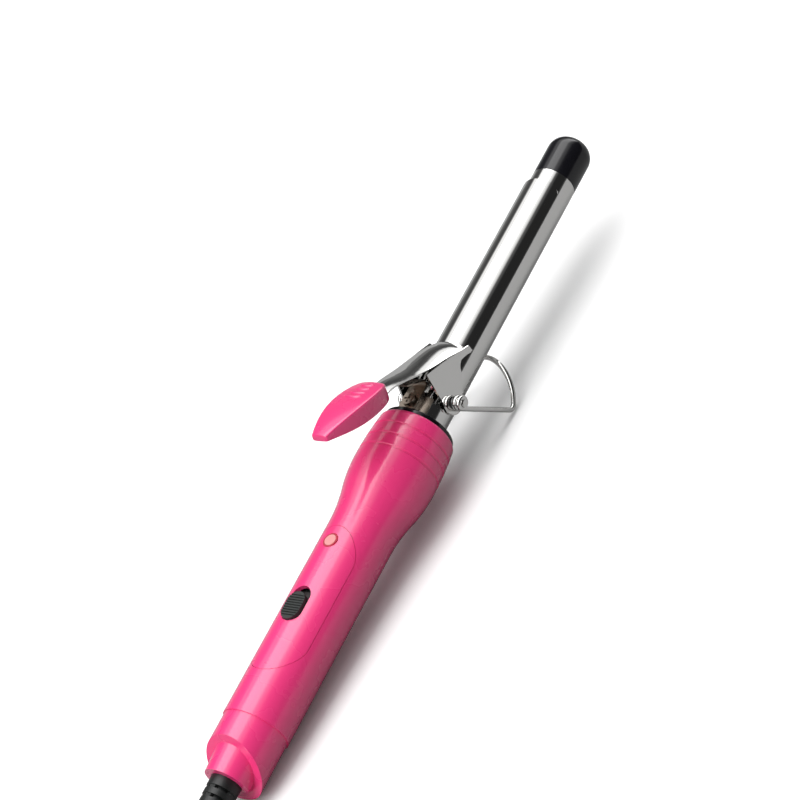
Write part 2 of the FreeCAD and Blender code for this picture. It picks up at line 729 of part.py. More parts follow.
def make_clip():
    """One pressed piece: the spoon over the barrel, the rising lever, and an ear down each side."""
    clip = body("clip_plate")
    inner = barrel_r + clip_gap
    outer = inner + clip_wall
    side, up = sine(clip_angle), cosine(clip_angle)
    section = outline(sketch_on(clip, "YZ_Plane", clip_root),
                      [(outer * side, outer * up, outer), (0, outer, outer), (-outer * side, outer * up),
                       (-inner * side, inner * up, -inner), (0, inner, -inner), (inner * side, inner * up)])
    pad(clip, section, clip_front - clip_root)
    for hand in (-1, 1):
        edge = hand * outer * side
        corner = outline(sketch_on(clip, "XY_Plane"),
                         [(clip_front - clip_corner, edge, -hand * clip_corner),
                          (clip_front, edge - hand * clip_corner),
                           (clip_front + 2, edge - hand * clip_corner),
                          (clip_front + 2, edge + hand * 2), (clip_front - clip_corner, edge + hand * 2)])
        pocket(clip, corner, outer * 2, reverse=True)
    tail_rise = as_size(0.5)
    sections = [arch(clip, 19, 8.7, 13.8, 16.4), arch(clip, 8, 7.8, 19.4, 21.2),
                arch(clip, -3, 6, 26, 27),
                arch(clip, -lever_tail, lever_half, lever_level - tail_rise, lever_level)]
    loft = clip.newObject("PartDesign::AdditiveLoft", "Lever")
    loft.Profile = section
    loft.Sections = sections
    run, rise = cosine(lever_slope), sine(lever_slope)
    top = tail_level
    tail = outline(sketch_on(clip, "XZ_Plane"),
                   [(-lever_tail + 0.5 * run, top - 0.5 * rise),
                    (-lever_tail - lever_end * run, top + lever_end * rise),
                    (-lever_tail - lever_end * run - clip_wall * rise,
                     top + lever_end * rise - clip_wall * run),
                    (-lever_tail + 0.5 * run - clip_wall * rise, top - 0.5 * rise - clip_wall * run)])
    pad(clip, tail, lever_half * 2 - 0.4, middle=True)

    for back in (rivet_front, rivet_rear):
        along = rest_setback + back
        hole = clip.newObject("Sketcher::SketchObject", "RivetHole")
        hole.AttachmentSupport = (origin(clip, "XY_Plane"), "")
        hole.MapMode = "FlatFace"
        tilted = FreeCAD.Rotation(V(0, 1, 0), lever_slope.number)
        hole.AttachmentOffset = FreeCAD.Placement(V(0, 0, 0), tilted)
        bind(hole, "AttachmentOffset.Rotation.Angle", lever_slope)
        bind(hole, "AttachmentOffset.Base.x", -lever_tail - along * run - 2 * rise)
        bind(hole, "AttachmentOffset.Base.z", top + along * rise - 2 * run)
        ring_mark(hole, 0, 0, rivet_r + fit)
        pocket(clip, hole, 5, reverse=True)

    ear = clip.newObject("Sketcher::SketchObject", "Ear")
    ear.AttachmentSupport = (origin(clip, "XZ_Plane"), "")
    ear.MapMode = "FlatFace"
    ear.AttachmentOffset = FreeCAD.Placement(V(), FreeCAD.Rotation(V(1, 0, 0), -ear_lean.number))
    bind(ear, "AttachmentOffset.Rotation.Angle", -ear_lean)
    bind(ear, "AttachmentOffset.Base.z", inner + clip_wall * 0.2 + 0.15)
    low = pivot_z - ear_r
    outline(ear, [(5, 19.7), (pivot_x - ear_r, pivot_z, ear_r), (pivot_x, low, ear_r),
                  (pivot_x + ear_r * 0.8, pivot_z - ear_r * 0.6), (18.1, 4.2, -5.5), (22.5, 8.2), (29.4, 5.4),
                  (29.4, 8.4), (19, 13.4)])
    plate = pad(clip, ear, clip_wall)
    other = clip.newObject("PartDesign::Mirrored", "OtherEar")
    other.Originals = [plate]
    other.MirrorPlane = (origin(clip, "XZ_Plane"), [""])
    clip.Tip = other
    doc.recompute()
    hole = ring_mark(sketch_on(clip, "XZ_Plane"), pivot_x, pivot_z, stud_r + pin_gap)
    pocket(clip, hole, barrel_r * 4, middle=True)


tail_level = lever_level - 0.3


def make_thumb_rest():
    """The plastic thumb rest over the lever's tail, slotted for it."""
    rest = body("thumb_rest")
    angle = FreeCAD.Rotation(V(0, 1, 0), lever_slope.number)
    low = -rest_under - clip_wall
    shoulder, shoulder_back, nose_back = rest_front + 1.4, as_size(2.5), rest_long - 2.4
    plan = outline(sketch_on(rest, "XY_Plane", low),
                   [(0, -rest_front), (-shoulder_back, -shoulder, -24), (-rest_waist, -rest_half, -70),
                    (-nose_back, -rest_nose, -(rest_nose + 0.4)), (-nose_back, rest_nose, -70),
                    (-rest_waist, rest_half, -24), (-shoulder_back, shoulder), (0, rest_front)])
    pad(rest, plan, rest_over - low)
    above = rest_over + 5
    side = outline(sketch_on(rest, "XZ_Plane"),
                   [(1, rest_over - 1.2, 60), (-9, rest_over, 60), (-24, rest_over - 0.6, 40),
                    (-rest_long - 1, rest_over - 3.8), (-rest_long - 1, above), (1, above)])
    pocket(rest, side, rest_half * 4, middle=True)
    under = outline(sketch_on(rest, "XZ_Plane"),
                    [(-rest_long + 14, low, 40), (-rest_long - 1, -0.6), (-rest_long - 1, -10),
                     (-rest_long + 14, -10)])
    pocket(rest, under, rest_half * 4, middle=True)
    slot = outline(sketch_on(rest, "XZ_Plane"),
                   [(1, fit), (-lever_end - 1, fit), (-lever_end - 1, -clip_wall - fit),
                    (1, -clip_wall - fit)])
    pocket(rest, slot, lever_half * 2 + 0.2, middle=True)
    rivets_at = (-rivet_front, -rivet_rear)
    for x in rivets_at:
        rivet_hole = ring_mark(sketch_on(rest, "XY_Plane", low - 1), x, 0, rivet_r + fit)
        pocket(rest, rivet_hole, 4 - low, reverse=True)
    ahead = rest_setback.number
    rest.Placement = FreeCAD.Placement(
        V(-lever_tail.number, 0, tail_level.number) + angle.multVec(V(-ahead, 0, 0)), angle)
    rivets = group("thumb_rest_rivets", *[
        rod(rivet_r, 2.4 - low, (x, 0, low)) for x in rivets_at])
    rivets.Placement = rest.Placement


# ---------------------------------------------------------------- pivot, stand and spring

washer_out = washer_in + washer_thick
coil_start = washer_out + side_gap
coil_end = coil_start + 2 * wire_r + coil_pitch
leg_y = coil_end - wire_r


def make_pivot():
    """Two studs riveted into the tube carry the clip's ears, a washer each and the stand's coils."""
    studs, washers = [], []
    inside = root(inner_r * inner_r - stud_foot_r * stud_foot_r) - pivot_z / 2 - 1.1
    head_at = coil_end + side_gap
    for side in (-1, 1):
        shank = rod(stud_r, head_at - inside, (pivot_x, inside if side > 0 else -head_at, pivot_z), ALONG_Y)
        face = head_at if side > 0 else -(head_at + stud_head)
        head = rod(stud_head_r, stud_head, (pivot_x, face, pivot_z),
                   ALONG_Y)
        foot = rod(stud_foot_r, 0.8, (pivot_x, inside if side > 0 else -(inside + 0.8), pivot_z), ALONG_Y)
        studs.append(fused(None, shank, head, foot))
        at = washer_in if side > 0 else -washer_out
        washers.append(cut(None, rod(washer_r, washer_thick, (pivot_x, at, pivot_z), ALONG_Y),
                           rod(stud_r + pin_gap, washer_thick + 2, (pivot_x, at - 1, pivot_z), ALONG_Y)))
    group("pivot_studs", *studs)
    group("pivot_washers", *washers)


def make_stand():
    """The bent wire stand: two coils on each stud, two legs and a rounded foot between them."""
    centre = V(pivot_x.number, 0, pivot_z.number)
    coil_r = stud_r.number + pin_gap.number + wire_r.number
    down = V(math.cos(math.radians(leg_drop.number)), 0, -math.sin(math.radians(leg_drop.number)))
    side = V(0, 1, 0)
    lean = math.radians(leg_drop.number - foot_lean.number)
    ahead = V(math.cos(lean), 0, -math.sin(lean))
    back = V(-down.z, 0, down.x) * -1
    y = leg_y.number
    start = centre + back * coil_r + side * y
    heel = start + down * leg_long.number
    turn_angle = math.radians(foot_lean.number)
    cut_back = heel_r.number * math.tan(turn_angle / 2)
    leg_end = heel - down * cut_back
    foot_start = heel + ahead * cut_back
    bend_middle = heel + (ahead - down).normalize() * heel_r.number * (1 / math.cos(turn_angle / 2) - 1)
    depth = foot_deep.number - cut_back
    tip_r = foot_tip_r.number
    # The foot's side arcs run tangent to the heel and to the arc at its tip.
    side_r = ((depth - tip_r) ** 2 + y * y - tip_r * tip_r) / (2 * (y - tip_r))
    side_centre = foot_start - side * side_r
    tip_centre = V(foot_start.x, 0, foot_start.z) + ahead * (depth - tip_r)
    join = side_centre + (tip_centre - side_centre).normalize() * side_r
    half_angle = (side + (join - side_centre).normalize()).normalize()
    side_middle = side_centre + half_angle * side_r
    tip = tip_centre + ahead * tip_r

    def mirror(point):
        return V(point.x, -point.y, point.z)

    edges = [Part.LineSegment(start, leg_end), Part.Arc(leg_end, bend_middle, foot_start),
             Part.Arc(foot_start, side_middle, join), Part.Arc(join, tip, mirror(join)),
             Part.Arc(mirror(join), mirror(side_middle), mirror(foot_start)),
             Part.Arc(mirror(foot_start), mirror(bend_middle), mirror(leg_end)),
             Part.LineSegment(mirror(leg_end), mirror(start))]
    path = Part.Wire([edge.toShape() for edge in edges])
    section = Part.Wire([Part.Circle(start, down, wire_r.number).toShape()])
    shape = path.makePipeShell([section], True, False)
    for hand in (-1, 1):
        for turn_number in (0, 1):
            at = hand * (leg_y.number - coil_pitch.number * turn_number)
            shape = shape.fuse(Part.makeTorus(coil_r, wire_r.number, centre + V(0, at, 0), side))
    feature("stand_wire", shape)
    return heel


def make_spring():
    """The saddle on the barrel, the folded leaf spring that lifts the lever, and its screw."""
    base_r = barrel_r + 0.02
    top = barrel_r + saddle_wall + 1.4
    half = as_size(4.2)
    saddle = body("spring_bracket")
    low = base_r * cosine(saddle_angle)
    wide = base_r * sine(saddle_angle)
    outer = base_r + saddle_wall
    section = outline(sketch_on(saddle, "YZ_Plane", -saddle_rear),
                      [(half, top), (-half, top), (-half, root(outer * outer - half * half), outer),
                       (-wide * outer / base_r, low * outer / base_r), (-wide, low, -base_r),
                        (0, base_r, -base_r),
                       (wide, low), (wide * outer / base_r, low * outer / base_r, outer),
                       (half, root(outer * outer - half * half))])
    pad(saddle, section, saddle_rear + saddle_front)
    pocket(saddle, ring_mark(sketch_on(saddle, "XY_Plane"), -spring_screw_x, 0, spring_screw_r), top * 2,
           reverse=True)

    leaf = body("clip_spring")
    seat = top + 0.02
    front = saddle_front + 2.4
    mean = spring_bend
    inside, outside = mean - spring_thick / 2, mean + spring_thick / 2
    centre_z = seat + outside
    side, up = sine(spring_rise), cosine(spring_rise)
    arm_x, arm_z = front - spring_arm * up, spring_arm * side
    out_x, out_z = front + outside * side, centre_z + outside * up
    in_x, in_z = front + inside * side, centre_z + inside * up
    profile = outline(sketch_on(leaf, "XZ_Plane"),
                      [(-saddle_rear + 0.4, seat), (front, seat, outside),
                        (front + outside, centre_z, outside),
                       (out_x, out_z), (arm_x + outside * side, centre_z + outside * up + arm_z),
                       (arm_x + inside * side, centre_z + inside * up + arm_z), (in_x, in_z, -inside),
                       (front + inside, centre_z, -inside), (front, seat + spring_thick),
                       (-saddle_rear + 0.4, seat + spring_thick)])
    pad(leaf, profile, spring_wide, middle=True)
    pocket(leaf, ring_mark(sketch_on(leaf, "XY_Plane"), -spring_screw_x, 0, spring_screw_r + fit), centre_z,
           reverse=True)

    head = solid("Cylinder", {"Radius": spring_head_r, "Height": spring_head},
                 (-spring_screw_x, 0, seat + spring_thick + 0.02))
    cross = [block((4, 0.8, 1.2), (-spring_screw_x, 0, seat + spring_thick + spring_head)),
             block((0.8, 4, 1.2), (-spring_screw_x, 0, seat + spring_thick + spring_head))]
    shank_long = seat + spring_thick + 1 - inner_r + 1
    shank = rod(spring_screw_r - 0.05, shank_long, (-spring_screw_x, 0, inner_r - 1))
    cut("spring_screw", fused(None, head, shank), *cross)


# ---------------------------------------------------------------- cord

def make_strain_relief():
    """The ribbed relief that turns in the rear cap, with its flange and retaining ring inside."""
    rear = -cap_rear
    wall_front = rear + 8
    core_start = rear - stem_out
    count = 8
    end = core_start - rib_pitch * count
    bore = cord_r + 0.05
    corners = [(end, bore), (wall_front + swivel_gap + 6, bore), (wall_front + swivel_gap + 6, stem_r - 0.6),
               (wall_front + swivel_gap + 1.8, stem_r - 0.6), (wall_front + swivel_gap + 1.8, stem_flange_r),
               (wall_front + swivel_gap, stem_flange_r), (wall_front + swivel_gap, stem_r),
               (core_start, stem_r)]
    for i in range(count):
        start = core_start - rib_pitch * i
        radius = rib_r - rib_taper * i
        gap = rib_pitch - rib_width
        corners += [(start, rib_core_r), (start - gap, rib_core_r), (start - gap, radius),
                    (start - rib_pitch, radius)]
    relief = turned("strain_relief", corners)
    webs = outline(sketch_on(relief, "XZ_Plane"),
                   [(core_start + 0.5, -(rib_r - 0.3)), (core_start + 0.5, -(bore + 0.4)),
                    (end, -(bore + 0.4)), (end, -(rib_r - rib_taper * count))])
    web = pad(relief, webs, 2.4, middle=True)
    ring = relief.newObject("PartDesign::PolarPattern", "Webs")
    ring.Originals = [web]
    ring.Axis = (origin(relief, "X_Axis"), [""])
    ring.Angle = 360
    ring.Occurrences = 4
    relief.Tip = ring
    doc.recompute()

    ring_at = wall_front + swivel_gap + 2.4
    cut("swivel_ring", rod(stem_flange_r - 0.4, 1.6, (ring_at, 0, 0), ALONG_X),
        rod(stem_r - 0.6 + 0.05, 4, (ring_at - 1, 0, 0), ALONG_X),
        block((4, 10, 3.4), (ring_at + 1, 0, stem_flange_r)))
    return end


def make_cord_clamp():
    """The bar that grips the cord inside the handle, its two screws, and the wire connectors."""
    x = -(grip_rear - spigot_length - 7)
    for label, side in (("cord_clamp_bar", 1), ("cord_clamp_base", -1)):
        cut(label, block((6, 15, 3), (x, 0, side * (cord_r + 1))), rod(cord_r, 12, (x - 6, 0, 0), ALONG_X),
            *[rod(screw_r, 16, (x, y, -8)) for y in (-5.4, 5.4)])
    head_z = cord_r + 2.6
    down = FreeCAD.Rotation(V(1, 0, 0), 180)
    group("cord_clamp_screws", *[
        screw(screw_r - 0.05, as_size(9), screw_head_r, as_size(1.1), (x, y, head_z + 1), down)
        for y in (-5.4, 5.4)])
    crimp_x = -(grip_rear - spigot_length - 15)
    group("wire_connectors", *[rod(1.7, 7, (crimp_x, y, -1.5), ALONG_X) for y in (-2.6, 2.6)])


def stand_on_floor(heel):
    """The placement that sets the wand down on the heels of its stand and the rear edge of its handle."""
    rear = V(-(cap_rear - cap_round).number, 0, -(cap_r - cap_round).number)
    dx, dz = heel.x - rear.x, heel.z - rear.z
    tilt = math.atan2(-dz, dx) + math.asin((wire_r - cap_round).number / math.hypot(dx, dz))
    turned_up = FreeCAD.Rotation(V(0, 1, 0), -math.degrees(tilt))
    whole = FreeCAD.BoundBox()
    for item in parts:
        shape = item.Shape.copy()
        shape.Placement = FreeCAD.Placement(V(), turned_up).multiply(shape.Placement)
        whole.add(shape.optimalBoundingBox(False))
    shift = V(-(whole.XMin + whole.XMax) / 2, -(whole.YMin + whole.YMax) / 2, -whole.ZMin)
    sizes = [round(size, 1) for size in (whole.XLength, whole.YLength, whole.ZLength)]
    print("wand:", sizes, f"tilt {math.degrees(tilt):.2f}")
    return FreeCAD.Placement(shift, turned_up)


def round_path(points):
    """Straight runs joined by tangent arcs, each as large as its two runs allow."""
    edges, at = [], points[0]
    for before, here, after in zip(points, points[1:], points[2:]):
        arriving, leaving = (here - before), (after - here)
        half_turn = arriving.getAngle(leaving) / 2
        reach = 0.45 * min(arriving.Length, leaving.Length)
        radius = reach / math.tan(half_turn)
        start = here - arriving.normalize() * reach
        end = here + leaving.normalize() * reach
        inward = (end - here).normalize() + (start - here).normalize()
        middle = here + inward.normalize() * radius * (1 / math.cos(half_turn) - 1)
        edges += [Part.LineSegment(at, start), Part.Arc(start, middle, end)]
        print(f"cord bend radius {radius:.0f}")
        at = end
    edges.append(Part.LineSegment(at, points[-1]))
    return Part.Wire([edge.toShape() for edge in edges])


# The cord's routes in the placed frame: from the strain relief to the hank, then over its end to the plug.
CORD_ROUTE = [V(-204, 5, 4.9), V(-222, 11, 3.95)]
TAIL_ROUTE = [V(-292, 13.5, 15.8), V(-306, 12.4, 15.6), V(-320, 7.6, 11.6), V(-333, 2.6, 7.6),
              V(-346, 1, 6.6)]


def tube(label, points):
    """A round cord along a route; its volume is compared with its section times its length."""
    path = round_path(points)
    r = cord_r.number
    section = Part.Wire([Part.Circle(points[0], points[1] - points[0], r).toShape()])
    shape = path.makePipeShell([section], True, False)
    print(f"{label}: {path.Length:.0f} long, volume {shape.Volume:.0f}, "
          f"expected {math.pi * r * r * path.Length:.0f}")
    return shape


def stadium(width, height):
    """A slab with round ends, as long as the hank less the two widths' difference."""
    half_wide = width / 2
    half_run = (hank_long - hank_wide) / 2
    bottom = floor_gap + tie_thick - (height - hank_high) / 2
    ends = [rod(half_wide, height, (hank_x + side * half_run, hank_y, bottom)) for side in (-1, 1)]
    return fused(None, block((half_run * 2, width, height), (hank_x, hank_y, bottom + height / 2)), *ends)


def make_cord(relief_end, placing):
    """The put-away hank and its tie, and the cord that enters and leaves the hank face to face."""
    hank = cut("cord_hank", stadium(hank_wide, hank_high), stadium(hank_wide - hank_band * 2, hank_high + 2))
    middle = (hank_x, hank_y, floor_gap + tie_thick + hank_high / 2)
    cut("cord_tie", block((tie_long, hank_wide + tie_thick * 2, hank_high + tie_thick * 2), middle),
        block((tie_long + 2, hank_wide, hank_high), middle))
    doc.recompute()
    start = placing.multVec(V(relief_end.number + 6, 0, 0))
    out = placing.Rotation.multVec(V(-1, 0, 0))
    feature("mains_cord", tube("mains cord", [start, start + out * 17] + CORD_ROUTE).cut(hank.Shape))
    plug_back = Part.makeBox(60, 60, 60, V(plug_x.number - 60, plug_y.number - 30, -20))
    feature("cord_tail", tube("cord tail", TAIL_ROUTE).cut(hank.Shape).cut(plug_back))


def make_plug():
    """The moulded two-pin plug, lying flat beyond the hank with its pins pointing away."""
    plug = body("plug_body")
    nose = plug_long
    half = plug_wide / 2
    neck = cord_r + 2
    corner = plug_round
    pad(plug, outline(sketch_on(plug, "XY_Plane"),
                      [(0, -neck), (neck_long, -neck), (shoulder, -half), (nose - corner, -half, corner),
                       (nose, -half + corner), (nose, half - corner, corner), (nose - corner, half),
                       (shoulder, half), (neck_long, neck), (0, neck)]), plug_deep)
    away = FreeCAD.Rotation(V(0, 0, 1), 180)
    place = FreeCAD.Placement(V(plug_x.number, plug_y.number, floor_gap.number), away)
    plug.Placement = place
    level = plug_deep / 2
    pins_y = [side * plug_pins_apart / 2 for side in (-1, 1)]
    pins = group("plug_pins", *[rod(plug_pin_r, plug_pin_long, (nose, y, level), ALONG_X) for y in pins_y])
    pins.Placement = place


make_barrel()
make_cool_tip()
make_heater()
make_fuse_and_leads()
make_handle()
make_panel()
make_bushings()
make_rear_cap()
make_cap_screw()
make_switch()
make_lamp()
make_clip()
make_thumb_rest()
make_pivot()
heel_point = make_stand()
make_spring()
make_cord_clamp()
cord_end = make_strain_relief()
doc.recompute()

standing = stand_on_floor(heel_point)
for item in parts:
    item.Placement = standing.multiply(item.Placement)
for name, x, z in (("pivot", pivot_x, pivot_z), ("slider", -slot_middle, grip_r),
                   ("swivel", -cap_rear, as_size(0)),
                   ("tip", barrel_front + tip_length, as_size(0))):
    at = V(x.number, 0, z.number)
    print(f"{name} at", [round(value, 3) for value in standing.multVec(at)])
print("wand axis", [round(value, 5) for value in standing.Rotation.multVec(V(1, 0, 0))])
make_cord(cord_end, standing)
make_plug()
doc.recompute()

# ---------------------------------------------------------------- checks and files

faults = [item.Name for item in doc.Objects if {"Invalid", "Error"} & set(item.State)]
faults += [item.Label for item in parts if item.Shape.isNull() or not item.Shape.isValid()]
if faults:
    raise RuntimeError("these did not build: " + ", ".join(faults))
for item in parts:
    item.Shape.exportStep(f"parts/{item.Label}.step")
print(len(parts), "sub-parts written")
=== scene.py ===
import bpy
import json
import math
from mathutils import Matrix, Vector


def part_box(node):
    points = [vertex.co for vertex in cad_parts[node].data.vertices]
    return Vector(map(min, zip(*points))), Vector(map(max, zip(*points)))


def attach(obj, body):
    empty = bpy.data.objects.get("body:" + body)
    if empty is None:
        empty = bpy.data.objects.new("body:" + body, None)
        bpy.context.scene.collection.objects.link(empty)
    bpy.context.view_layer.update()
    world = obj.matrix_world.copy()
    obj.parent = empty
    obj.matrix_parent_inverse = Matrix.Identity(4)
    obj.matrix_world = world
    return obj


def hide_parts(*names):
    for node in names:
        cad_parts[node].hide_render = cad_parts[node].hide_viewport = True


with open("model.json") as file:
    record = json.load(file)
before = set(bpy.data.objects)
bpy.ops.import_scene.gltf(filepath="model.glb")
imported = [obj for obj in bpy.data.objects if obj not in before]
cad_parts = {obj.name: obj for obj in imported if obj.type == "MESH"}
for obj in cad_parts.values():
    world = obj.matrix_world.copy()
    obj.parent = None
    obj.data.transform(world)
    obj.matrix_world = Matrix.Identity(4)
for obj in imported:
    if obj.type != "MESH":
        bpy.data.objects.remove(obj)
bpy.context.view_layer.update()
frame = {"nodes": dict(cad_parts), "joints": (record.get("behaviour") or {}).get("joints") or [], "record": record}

# %% [markdown]
# This lesson dresses a curling wand: a chromed barrel with a sprung clip, a wire stand, a pink moulded
# handle and a rubber cord. The metal and plastic parts are already in the scene, each in its right place
# and size. We light them, give every surface a finish, and model the pieces that need more shape than a
# plain part has.

scene = bpy.context.scene
scene.view_settings.view_transform = "Standard"

# %% [markdown]
# The wand leans a little, because it rests on its stand. It is easier to think along the barrel, so we take
# the wand's own directions from the joint of the cord's swivel: along the barrel, across it, and up through
# the lever. Places are then given in millimetres from a point just in front of the handle's mouth.

# %% The wand's own directions
joints = {joint["name"]: joint for joint in frame["joints"]}
along = Vector(joints["cord_swivel_turn"]["axis"]).normalized()
across = Vector((0, 1, 0))
lift = along.cross(across)
cap_end = 171.5
start = Vector(joints["cord_swivel_turn"]["pos_m"]) + along * cap_end / 1000
wand = Matrix((along, across, lift)).transposed().to_4x4()
wand.translation = start


def at(x, y=0.0, z=0.0):
    return wand @ Vector((x / 1000, y / 1000, z / 1000))


print("the barrel points along", [round(value, 4) for value in along])

# %% [markdown]
# Blender's operators work on what is selected, so one small tool selects a single object first.

# %% Choose one object
def select(piece):
    bpy.ops.object.select_all(action="DESELECT")
    piece.select_set(True)
    bpy.context.view_layer.objects.active = piece


# %% [markdown]
# The camera looks down over the near side of the handle from behind, so the barrel runs away from it. A
# long lens keeps the two ends of the wand almost the same scale. Its three axes are built one from another:
# first a turn about the barrel, then a swing towards the cord, then a lean of the whole picture.

# %% Camera
roll, swing, lean = math.radians(45.5), math.radians(27), math.radians(61)
facing = -math.sin(roll) * across + math.cos(roll) * lift
sideways = math.cos(roll) * across + math.sin(roll) * lift
backward = -math.sin(swing) * along + math.cos(swing) * facing
ahead = math.cos(swing) * along + math.sin(swing) * facing
right = math.cos(lean) * ahead - math.sin(lean) * sideways
upward = math.sin(lean) * ahead + math.cos(lean) * sideways
camera_data = bpy.data.cameras.new("camera")
camera_data.lens = 112.5
camera_data.sensor_width = 36
camera = bpy.data.objects.new("camera", camera_data)
scene.collection.objects.link(camera)
distance, raised = 0.99, 0.0123
camera.matrix_world = (Matrix.Translation(start + raised * sideways + distance * backward)
                       @ Matrix((right, upward, backward)).transposed().to_4x4())
scene.camera = camera
print("camera at", [round(value, 3) for value in camera.location])

# %% [markdown]
# The cord is a fixed length of something flexible. It leaves the relief straight, drops to the table in an
# easy curve, and the rest of its length is folded into a hank in three layers, held by a tie, with the plug
# beyond it. One smooth curve carries it all. Each turn is a half circle round either end of the hank with a
# run between. A half circle's control points stand a little outside it, because the curve cuts inside them.

# %% The route
cord_radius = 0.003
relief_end, cord_start = -204.3, -198.3
middle_x, middle_y, half_run = -258, -7.9, 27.5
near, wide = 15.5, 21.5
low, middle, high = 3.9, 9.9, 15.9
turns = [(wide, low), (near, low), (wide, middle), (near, middle), (near, high), (wide, high), (wide, high)]
bend_steps = 6
outside = 1 / math.cos(math.radians(90 / bend_steps))


def bend(end, first, radius, height):
    """The control points of a half circle round one end of the hank, from an angle in degrees."""
    angles = [math.radians(first + 180 * (step + 0.5) / bend_steps) for step in range(bend_steps)]
    return [(middle_x + end * half_run + outside * radius * math.cos(angle),
             middle_y + outside * radius * math.sin(angle), height) for angle in angles]


straight_out = 17
over_and_up = ((-16, 0.1), (0, 0.5), (16, 0.9))
along_far_side = (14, -2)
run = [at(cord_start), at(cord_start - straight_out)]
route = [(-204, 5, 4.9), (-222, 11, 3.9), (-240, 13.5, 3.9), (-262, 13.6, 3.9)]
for (radius, height), (next_radius, next_height) in zip(turns, turns[1:]):
    inward, upwards = radius - next_radius, next_height - height
    route += bend(-1, 90, radius, height)
    route += [(middle_x + x, middle_y - radius + inward * part, height + upwards * part)
              for x, part in over_and_up]
    route += bend(1, 270, next_radius, next_height)
    route += [(middle_x + x, middle_y + next_radius, next_height) for x in along_far_side]
route += [(-274, 13.6, 15.9), (-292, 13.5, 15.8), (-306, 12.4, 15.6), (-320, 7.6, 11.6), (-333, 2.6, 7.6),
          (-341, 1, 6.6)]
run += [Vector(point) / 1000 for point in route]
print(len(run), "points on the route")

# %% [markdown]
# The route's points are the control points of one spline. We read the line it makes, then give it its round
# section, and turn it into a mesh, whose size is the cord's true size.

# %% Cord
cord_line = bpy.data.curves.new("power_cord", "CURVE")
cord_line.dimensions = "3D"
spline = cord_line.splines.new("NURBS")
spline.points.add(len(run) - 1)
for point, place in zip(spline.points, run):
    point.co = (*place, 1)
spline.use_endpoint_u = True
spline.order_u = 3
spline.resolution_u = 6
power_cord = bpy.data.objects.new("power_cord", cord_line)
scene.collection.objects.link(power_cord)
centre_line = [tuple(corner.co) for corner in bpy.data.meshes.new_from_object(power_cord).vertices]
cord_line.bevel_depth = cord_radius
cord_line.bevel_resolution = 6
cord_line.use_fill_caps = True
select(power_cord)
bpy.ops.object.convert(target="MESH")
bpy.ops.object.shade_smooth()
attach(power_cord, "handle")
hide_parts("mains_cord", "cord_hank", "cord_tail")
print("the cord's line has", len(centre_line), "points")

# %% [markdown]
# The wand stands on a plain white table. Polished metal shows whatever is round it. The table answers the camera
# as white, and every other ray, such as the barrel's reflections, as grey: that grey is painted shade in the
# reflections, standing in for the shaded table under the wand.

# %% Table
table_size = 8
below_parts = 0.0003
bpy.ops.mesh.primitive_plane_add(size=table_size, location=(0, 0, -below_parts))
table = bpy.context.object
table.name = "table"
paint = bpy.data.materials.new("table_paint")
paint.use_nodes = True
shader = paint.node_tree.nodes["Principled BSDF"]
shader.inputs["Roughness"].default_value = 0.9
rays = paint.node_tree.nodes.new("ShaderNodeLightPath")
choice = paint.node_tree.nodes.new("ShaderNodeMix")
choice.data_type = "RGBA"
# painted shade: reflected and bounced rays see the table this dark grey
painted_shade_grey = (0.26, 0.26, 0.26, 1)
white = (0.93, 0.93, 0.93, 1)
choice.inputs["A"].default_value = painted_shade_grey
choice.inputs["B"].default_value = white
paint.node_tree.links.new(rays.outputs["Is Camera Ray"], choice.inputs["Factor"])
paint.node_tree.links.new(choice.outputs["Result"], shader.inputs["Base Color"])
table.data.materials.append(paint)

# %% [markdown]
# The sky is a long soft box: bright overhead, and dark low down on the near side. Chrome turns that into
# one broad white band, one black band and a grey one, and gloss plastic into a single clean highlight. The
# brightness depends only on the angle round the barrel, so we take the arctangent of height over depth and
# ramp it.

# %% Studio sky
world = bpy.data.worlds.new("studio")
scene.world = world
world.use_nodes = True
nodes, links = world.node_tree.nodes, world.node_tree.links
direction = nodes.new("ShaderNodeTexCoord")
split = nodes.new("ShaderNodeSeparateXYZ")
links.new(direction.outputs["Generated"], split.inputs["Vector"])
turn = nodes.new("ShaderNodeMath")
turn.operation = "ARCTAN2"
links.new(split.outputs["Z"], turn.inputs[0])
links.new(split.outputs["Y"], turn.inputs[1])
share = nodes.new("ShaderNodeMapRange")
share.inputs["From Max"].default_value = math.pi
links.new(turn.outputs["Value"], share.inputs["Value"])
ramp = nodes.new("ShaderNodeValToRGB")
strongest = 3.4
stops = [(0, 0.2), (24, 0.06), (38, 0.08), (45, 1.0), (59, 1.1), (63, 3.4), (97, 3.4), (103, 1.2),
         (114, 0.8), (121, 0.12), (133, 0.02), (172, 0.02), (180, 0.1)]
while len(ramp.color_ramp.elements) < len(stops):
    ramp.color_ramp.elements.new(0.5)
for element, (degrees, bright) in zip(ramp.color_ramp.elements, stops):
    element.position = degrees / 180
for element, (degrees, bright) in zip(ramp.color_ramp.elements, stops):
    element.color = (bright / strongest, bright / strongest, bright / strongest, 1)
links.new(share.outputs["Result"], ramp.inputs["Fac"])
background = nodes["Background"]
background.inputs["Strength"].default_value = strongest
links.new(ramp.outputs["Color"], background.inputs["Color"])

# %% [markdown]
# A soft lamp from behind the camera lifts the near side a little, as the open room does.

# %% Fill light
fill_data = bpy.data.lights.new("fill", "AREA")
fill_data.size = 1.2
fill_data.energy = 7
fill = bpy.data.objects.new("fill", fill_data)
scene.collection.objects.link(fill)
fill.location = (-1.2, -1.0, 0.9)
fill.rotation_euler = (Vector((0, 0, 0)) - fill.location).to_track_quat("-Z", "Y").to_euler()
fill.visible_glossy = False

